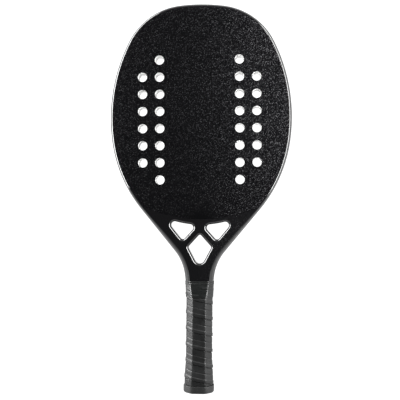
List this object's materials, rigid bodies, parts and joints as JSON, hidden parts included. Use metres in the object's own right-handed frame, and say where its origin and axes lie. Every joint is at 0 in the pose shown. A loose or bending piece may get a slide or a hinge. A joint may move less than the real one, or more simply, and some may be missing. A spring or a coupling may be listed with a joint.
{
  "type": "beach tennis racket",
  "caption": "Flat paddle racket with a drilled, grit-coated head, an open braced throat and a wrapped eight-sided handle.",
  "frame": {"origin": "middle of the flat end face of the butt cap", "axes": "+X across the racket, +Y from the butt to the tip of the head, +Z out of the front face"},
  "size_m": [0.2282, 0.487, 0.0342],
  "materials": {
    "gloss_frame": "clear-coated moulded composite, glossy black",
    "grit_face": "matte black paint with a fine sand grit",
    "white_foam": "closed-cell foam, cut surface",
    "pallet_foam": "moulded rigid foam",
    "cap_plastic": "satin moulded rubber",
    "pin_steel": "bright wire",
    "grip_wrap": "soft dry synthetic leather over foam",
    "grip_tape": "thin stretched vinyl, satin sheen"
  },
  "bodies": {
    "root": {"frame_tube": "gloss_frame", "throat_bridge": "gloss_frame", "throat_wedge": "gloss_frame", "foam_core": "white_foam", "front_face_skin": "grit_face", "back_face_skin": "grit_face", "handle_pallet_front": "pallet_foam", "handle_pallet_back": "pallet_foam", "butt_cap": "cap_plastic", "cap_pin_front": "pin_steel", "cap_pin_back": "pin_steel", "cushion_grip": "grip_wrap", "finishing_tape": "grip_tape"}
  },
  "joints": []
}
